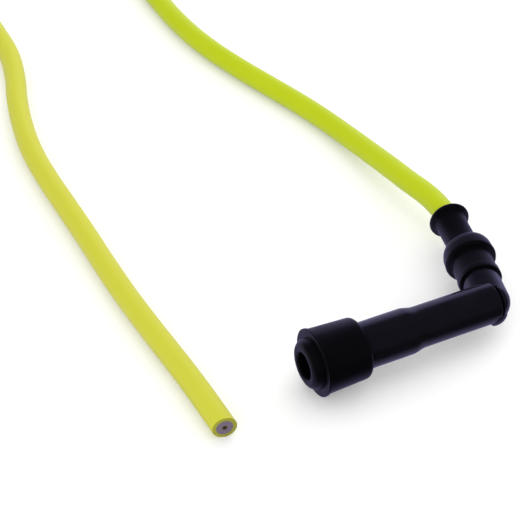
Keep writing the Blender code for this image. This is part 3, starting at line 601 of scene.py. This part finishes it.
def claw_lobe(name, margin, hollow_end):
    """A ball set off the lid's axis, flat in front and hollowed out to sit over the body."""
    around = math.radians(CLAW_WAY)
    bpy.ops.object.select_all(action="DESELECT")
    bpy.ops.mesh.primitive_uv_sphere_add(
        segments=CLAW_SIDES, ring_count=CLAW_SIDES // 2, radius=CLAW_RADIUS + margin,
        location=(0, CLAW_OFFSET * math.cos(around), CLAW_OFFSET * math.sin(around)),
        rotation=(0, math.pi / 2, 0))
    lobe = bpy.context.active_object
    lobe.name = name
    bpy.ops.object.transform_apply(location=True, rotation=True, scale=True)
    bpy.ops.object.mode_set(mode="EDIT")
    bpy.ops.mesh.select_all(action="SELECT")
    bpy.ops.mesh.bisect(
        plane_co=(CLAW_TIP - margin, 0, 0), plane_no=(-1, 0, 0), use_fill=True, clear_outer=True)
    close_rings(lobe)
    cut_with(lobe, bar("claw_hollow", CLAW_TIP - WELL_BEYOND, hollow_end, CLAW_INNER - margin,
                       CLAW_HOLLOW_SIDES))
    return lobe


notch = claw_lobe("claw_notch", CLAW_MARGIN, NOTCH_END)
put_in_place(notch, elbow, 0)
cut_with(body, notch)
bpy.ops.object.shade_smooth_by_angle(angle=math.radians(CREASE_ANGLE))

# The pole is a ring too small to see, which close_rings welds to a point.
ball = []
rim_angle = math.asin((COVER_FACE + COVER_EDGE) / COVER_RADIUS)
for step in range(BALL_STEPS + 1):
    angle = rim_angle + (math.pi / 2 - rim_angle) * step / BALL_STEPS
    ball.append((
        COVER_RADIUS * math.sin(angle),
        max(COVER_RADIUS * math.cos(angle), POLE_RADIUS)))
lid = turn_rings("lid", [
    (COVER_FACE + COVER_RECESS, POLE_RADIUS),
    (COVER_FACE + COVER_RECESS, SPIGOT_RADIUS - SPIGOT_WALL),
    (SPIGOT_END, SPIGOT_RADIUS - SPIGOT_WALL),
    (SPIGOT_END, SPIGOT_RADIUS),
    (COVER_FACE, SPIGOT_RADIUS),
    (COVER_FACE, ball[0][1] - COVER_EDGE),
    *ball,
], BODY_SIDES)
close_rings(lid)
claw = claw_lobe("lid_claw", 0, COVER_FACE + CLAW_OVERLAP)
cut_with(claw, bar(
    "claw_core", CLAW_TIP - WELL_BEYOND, COVER_FACE + COVER_RECESS + CORE_OVERLAP,
    SPIGOT_RADIUS + CLAW_OVERLAP))
cut_with(lid, claw, "UNION")
put_in_place(lid, elbow, 0)
# The cable leg passes over the lid's upper rear, but its clearance spares the spigot in the bore.
clearance = bar("leg_clearance", LEG_ROOT - COVER_GAP, CLEARANCE_END, CLEARANCE_RADIUS)
put_in_place(clearance, elbow, CABLE_HEADING)
spared = bar("spared_spigot", SPIGOT_END - WELL_BEYOND, COVER_FACE + SPARED_DEPTH,
             SPIGOT_RADIUS + SPARED_MARGIN, SPARED_SIDES)
put_in_place(spared, elbow, 0)
cut_with(clearance, spared)
cut_with(lid, clearance)
relief = bar("stud_relief", STUD_RELIEF_START, LEG_DRAFT_END, SCREW_HOLE)
put_in_place(relief, elbow, CABLE_HEADING)
cut_with(lid, relief)
bpy.ops.object.shade_smooth_by_angle(angle=math.radians(CREASE_ANGLE))
lid.data.materials.clear()
lid.data.materials.append(moulded_black)
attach(lid, "root")
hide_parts("end_cover")

# Plug boot
# A black rubber boot pulled over the body's front end. A lip stands round its flat front face,
# and a bulging nose with a round mouth seals on the plug's insulator.
FACE = -57.0 * MM
TIP = -60.0 * MM
MOUTH_RADIUS = 3.95 * MM
MOUTH_ROUNDING = 0.7 * MM
MOUTH_LENGTH = 1.4 * MM
NOSE_BASE = 7.4 * MM
NOSE_SHOULDER = 5.2 * MM
NOSE_LENGTH = 2.6 * MM
NOSE_FOOT = 0.1 * MM
NOSE_STEPS = 10
LIP_RADIUS = 9.85 * MM
LIP_LENGTH = 0.8 * MM
LIP_ROUNDING = 0.12 * MM
LIP_STEP = 0.2 * MM
BOOT_FRONT_RADIUS = 9.5 * MM
BOOT_REAR_RADIUS = 8.95 * MM
BOOT_REAR = -42.3 * MM
BOOT_ROUNDING = 1.6 * MM
BOOT_CLEARANCE = 0.1 * MM
BOOT_SEAT = 0.3 * MM
BOOT_CREASE = 28.0
INSULATOR_RADIUS = 5.2 * MM
SEAL_BEAD = (
    (-55.3 * MM, INSULATOR_RADIUS),
    (-55.9 * MM, INSULATOR_RADIUS - 0.35 * MM),
    (-56.5 * MM, INSULATOR_RADIUS),
)

nose = []
for step in range(NOSE_STEPS + 1):
    angle = math.radians(90 * step / NOSE_STEPS)
    nose.append((
        TIP + NOSE_LENGTH * (1 - math.cos(angle)),
        NOSE_SHOULDER + (NOSE_BASE - NOSE_SHOULDER) * math.sin(angle)))
plug_boot = turn_rings("plug_boot_rubber", [
    *rounded(TIP + MOUTH_ROUNDING, MOUTH_RADIUS + MOUTH_ROUNDING, MOUTH_ROUNDING, 270, 180, 6),
    *nose,
    (FACE, NOSE_BASE + NOSE_FOOT),
    *rounded(FACE + LIP_ROUNDING, LIP_RADIUS - LIP_ROUNDING, LIP_ROUNDING, 180, 90),
    *rounded(FACE + LIP_LENGTH - LIP_ROUNDING, LIP_RADIUS - LIP_ROUNDING, LIP_ROUNDING, 90, 20),
    (FACE + LIP_LENGTH + LIP_STEP, BOOT_FRONT_RADIUS),
    *rounded(BOOT_REAR - BOOT_ROUNDING, BOOT_REAR_RADIUS - BOOT_ROUNDING, BOOT_ROUNDING, 90, 0, 10),
    (BOOT_REAR, BARREL_RADIUS + BOOT_CLEARANCE),
    (BODY_FRONT - BOOT_SEAT, BARREL_RADIUS + BOOT_CLEARANCE),
    (BODY_FRONT - BOOT_SEAT, INSULATOR_RADIUS),
    *SEAL_BEAD,
    (TIP + MOUTH_LENGTH, INSULATOR_RADIUS),
    (TIP + MOUTH_LENGTH, MOUTH_RADIUS),
    (TIP + MOUTH_ROUNDING, MOUTH_RADIUS),
], BODY_SIDES)
close_rings(plug_boot, BOOT_CREASE)
put_in_place(plug_boot, elbow, 0)
boot_black, boot_shader = grained(
    "boot_black", (0.0011, 0.0011, 0.0013, 1), (0.0021, 0.0020, 0.0025, 1), smooth=0.32,
    rough=0.42, patch_scale=150, grain_scale=2600, relief=0.014 * MM)
boot_shader.inputs["Specular IOR Level"].default_value = 0.24
plug_boot.data.materials.append(boot_black)
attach(plug_boot, "root")
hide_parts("plug_boot")

# Cable boot
# A black rubber boot over the cable leg: a lipped skirt, a broad ring to pull it by, a neck and
# a beaded entry that grips the lead and keeps water out.
SKIRT_END = 9.0 * MM
SKIRT_LIP = 6.45 * MM
SKIRT_LIP_LENGTH = 2.4 * MM
SKIRT_LIP_ROUNDING = 0.4 * MM
SKIRT_LIP_BACK = 0.15 * MM
SKIRT_RADIUS = 6.15 * MM
RING_PLACE = 18.0 * MM
RING_FOOT = 0.3 * MM
RING_FOOT_HEIGHT = 0.25 * MM
RING_RADIUS = 7.7 * MM
RING_LENGTH = 3.3 * MM
RING_ROUNDING = 1.1 * MM
SHOULDER_LENGTH = 4.0 * MM
SHOULDER_STEP = 0.2 * MM
SHOULDER_STEPS = 12
NECK_RADIUS = 4.6 * MM
NECK_MARGIN = 0.1 * MM
BEAD_RADIUS = 6.15 * MM
BEAD_LENGTH = 1.9 * MM
BEAD_FOOT = ((1.2 * MM, NECK_RADIUS), (0.4 * MM, NECK_RADIUS + 0.25 * MM))
ENTRY_MARGIN = 0.5 * MM
ENTRY_LENGTH = 1.5 * MM
GRIP_LENGTH = 8.0 * MM
GRIP_CLEARANCE = 0.02 * MM
LEG_SEAT = 0.3 * MM

ring_end = RING_PLACE + RING_LENGTH
shoulder_radius = RING_RADIUS - SHOULDER_STEP
shoulder = []
for step in range(SHOULDER_STEPS + 1):
    angle = math.radians(90 * step / SHOULDER_STEPS)
    shoulder.append((
        ring_end + SHOULDER_LENGTH * math.sin(angle),
        NECK_RADIUS + (shoulder_radius - NECK_RADIUS) * math.cos(angle)))
bead_start = CABLE_EXIT - BEAD_LENGTH
half_bead = BEAD_LENGTH / 2
leg_fit = LEG_RADIUS + BOOT_CLEARANCE
lead_fit = LEAD_RADIUS + GRIP_CLEARANCE
cable_boot = turn_rings("cable_boot_rubber", [
    (SKIRT_END, leg_fit),
    *rounded(SKIRT_END + SKIRT_LIP_ROUNDING, SKIRT_LIP - SKIRT_LIP_ROUNDING, SKIRT_LIP_ROUNDING,
             180, 90, 6),
    *rounded(SKIRT_END + SKIRT_LIP_LENGTH - SKIRT_LIP_BACK, SKIRT_LIP - SKIRT_LIP_BACK,
             SKIRT_LIP_BACK, 90, 20),
    (SKIRT_END + SKIRT_LIP_LENGTH + LIP_STEP, SKIRT_RADIUS),
    (RING_PLACE - RING_FOOT, SKIRT_RADIUS),
    (RING_PLACE, SKIRT_RADIUS + RING_FOOT_HEIGHT),
    *rounded(RING_PLACE + RING_ROUNDING, RING_RADIUS - RING_ROUNDING, RING_ROUNDING, 180, 90, 10),
    *shoulder,
    *[(bead_start - reach, radius) for reach, radius in BEAD_FOOT],
    *rounded(bead_start + half_bead, BEAD_RADIUS - half_bead, half_bead, 170, 0, 14),
    (CABLE_EXIT, LEAD_RADIUS + ENTRY_MARGIN),
    (CABLE_EXIT - ENTRY_LENGTH, lead_fit),
    (CABLE_EXIT - GRIP_LENGTH, lead_fit),
    (LEG_LENGTH + LEG_SEAT, lead_fit),
    (LEG_LENGTH + LEG_SEAT, leg_fit),
    (SKIRT_END, leg_fit),
], BODY_SIDES)
close_rings(cable_boot, BOOT_CREASE)
turn_beyond(cable_boot, NECK_START + NECK_MARGIN, NECK_START, NECK_LEAN)
put_in_place(cable_boot, elbow, CABLE_HEADING)
cable_boot.data.materials.append(boot_black)
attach(cable_boot, "root")
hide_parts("cable_boot")

# Table and light
# A plain white table and backdrop under soft light from above. In the photograph the cap's black
# surfaces mirror a dark room in front and a white sweep low behind. Only glossy rays see those
# here: the world shows them, and for glossy rays the table glows as a painted reflection, dark in
# front and bright behind. Camera and shadow rays find a plain table.
TABLE_SIZE = 8.0
TABLE_WHITE = (0.86, 0.86, 0.86, 1)
TABLE_ROUGHNESS = 0.9
TABLE_GLOSS = 0.1
WHITE = (1, 1, 1, 1)
FILL_LIGHT = 0.74
DIM_ROOM = 0.11
BRIGHT_SWEEP = 0.95
SWEEP_COLOUR = (0.57, 0.53, 1.0, 1)
ROOM_BACK = (0.3, 0.9, -0.32)
ROOM_BACK_RANGE = (0.47, 0.75)
# Glow strengths of the table's painted reflection, seen only by glossy rays: in front, under the
# cap and behind.
TABLE_FRONT = 0.02
TABLE_UNDER = 0.55
TABLE_BEHIND = 0.95
UNDER_RANGE = (-19 * MM, -7 * MM)
BEHIND_RANGE = (10 * MM, 50 * MM)
TABLE_LIFT = 0.2
SOFTBOXES = (
    ("top_softbox", (0.3, 0.3, 1.2), 1.4, 1.2, 4),
    ("back_softbox", (1.1, 0.9, 0.5), 1.6, 0.8, 11),
    ("front_softbox", (-0.9, -0.6, 0.4), 1.4, 0.8, 5),
)

bpy.ops.object.select_all(action="DESELECT")
bpy.ops.mesh.primitive_plane_add(size=TABLE_SIZE, location=(0, 0, 0))
table = bpy.context.active_object
table.name = "table"
white_table, nodes, links, shader = principled("white_table", TABLE_ROUGHNESS)
shader.inputs["Base Color"].default_value = TABLE_WHITE
shader.inputs["Specular IOR Level"].default_value = TABLE_GLOSS
rays = nodes.new("ShaderNodeLightPath")
glow = nodes.new("ShaderNodeEmission")
glow.inputs["Color"].default_value = WHITE
both = nodes.new("ShaderNodeAddShader")
lift = nodes.new("ShaderNodeMath")
lift.operation = "MULTIPLY"
lift.inputs[1].default_value = TABLE_LIFT
place = nodes.new("ShaderNodeTexCoord")
depth = nodes.new("ShaderNodeSeparateXYZ")
under = nodes.new("ShaderNodeMapRange")
under.interpolation_type = "SMOOTHSTEP"
under.inputs["From Min"].default_value = elbow.y + UNDER_RANGE[0]
under.inputs["From Max"].default_value = elbow.y + UNDER_RANGE[1]
under.inputs["To Min"].default_value = TABLE_FRONT
under.inputs["To Max"].default_value = TABLE_UNDER
shade = nodes.new("ShaderNodeMapRange")
shade.interpolation_type = "SMOOTHSTEP"
shade.inputs["From Min"].default_value = elbow.y + BEHIND_RANGE[0]
shade.inputs["From Max"].default_value = elbow.y + BEHIND_RANGE[1]
shade.inputs["To Max"].default_value = TABLE_BEHIND
# Painted reflection: for glossy rays the table glows in the sweep's colour, graded along Y by the
# two ranges above.
painted_reflection_glow = nodes.new("ShaderNodeEmission")
painted_reflection_glow.inputs["Color"].default_value = SWEEP_COLOUR
choose = nodes.new("ShaderNodeMixShader")
links.new(rays.outputs["Is Camera Ray"], lift.inputs[0])
links.new(lift.outputs[0], glow.inputs["Strength"])
links.new(shader.outputs[0], both.inputs[0])
links.new(glow.outputs[0], both.inputs[1])
links.new(place.outputs["Object"], depth.inputs[0])
links.new(depth.outputs["Y"], under.inputs["Value"])
links.new(depth.outputs["Y"], shade.inputs["Value"])
links.new(under.outputs["Result"], shade.inputs["To Min"])
links.new(shade.outputs["Result"], painted_reflection_glow.inputs["Strength"])
links.new(rays.outputs["Is Glossy Ray"], choose.inputs[0])
links.new(both.outputs[0], choose.inputs[1])
links.new(painted_reflection_glow.outputs[0], choose.inputs[2])
links.new(choose.outputs[0], nodes["Material Output"].inputs["Surface"])
table.data.materials.append(white_table)

world = bpy.data.worlds.new("soft_room")
bpy.context.scene.world = world
world.use_nodes = True
nodes = world.node_tree.nodes
links = world.node_tree.links
backdrop = nodes["Background"]
rays = nodes.new("ShaderNodeLightPath")
way = nodes.new("ShaderNodeTexCoord")
facing = nodes.new("ShaderNodeVectorMath")
facing.operation = "DOT_PRODUCT"
facing.inputs[1].default_value = ROOM_BACK
behind = nodes.new("ShaderNodeMapRange")
behind.interpolation_type = "SMOOTHSTEP"
behind.inputs["From Min"].default_value = ROOM_BACK_RANGE[0]
behind.inputs["From Max"].default_value = ROOM_BACK_RANGE[1]
room = nodes.new("ShaderNodeMix")
room.inputs["A"].default_value = DIM_ROOM
room.inputs["B"].default_value = BRIGHT_SWEEP
seen = nodes.new("ShaderNodeMix")
seen.inputs["A"].default_value = FILL_LIGHT
finished = nodes.new("ShaderNodeMix")
finished.inputs["B"].default_value = 1.0
tone = nodes.new("ShaderNodeMix")
tone.data_type = "RGBA"
tone.inputs[6].default_value = WHITE
tone.inputs[7].default_value = SWEEP_COLOUR
links.new(way.outputs["Generated"], facing.inputs[0])
links.new(facing.outputs["Value"], behind.inputs["Value"])
links.new(behind.outputs["Result"], room.inputs["Factor"])
links.new(rays.outputs["Is Glossy Ray"], seen.inputs["Factor"])
links.new(room.outputs["Result"], seen.inputs["B"])
links.new(seen.outputs["Result"], finished.inputs["A"])
links.new(rays.outputs["Is Camera Ray"], finished.inputs["Factor"])
links.new(finished.outputs["Result"], backdrop.inputs["Strength"])
links.new(rays.outputs["Is Glossy Ray"], tone.inputs[0])
links.new(tone.outputs[2], backdrop.inputs["Color"])


def softbox(name, place, width, height, power):
    """An area lamp that faces the origin and doesn't show in glossy surfaces."""
    bpy.ops.object.light_add(type="AREA", location=place)
    lamp = bpy.context.active_object
    lamp.name = name
    lamp.data.shape = "RECTANGLE"
    lamp.data.size = width
    lamp.data.size_y = height
    lamp.data.energy = power
    lamp.rotation_euler = (-Vector(place)).to_track_quat("-Z", "Y").to_euler()
    lamp.visible_glossy = False


for name, place, width, height, power in SOFTBOXES:
    softbox(name, place, width, height, power)
bpy.context.scene.view_settings.view_transform = "Standard"
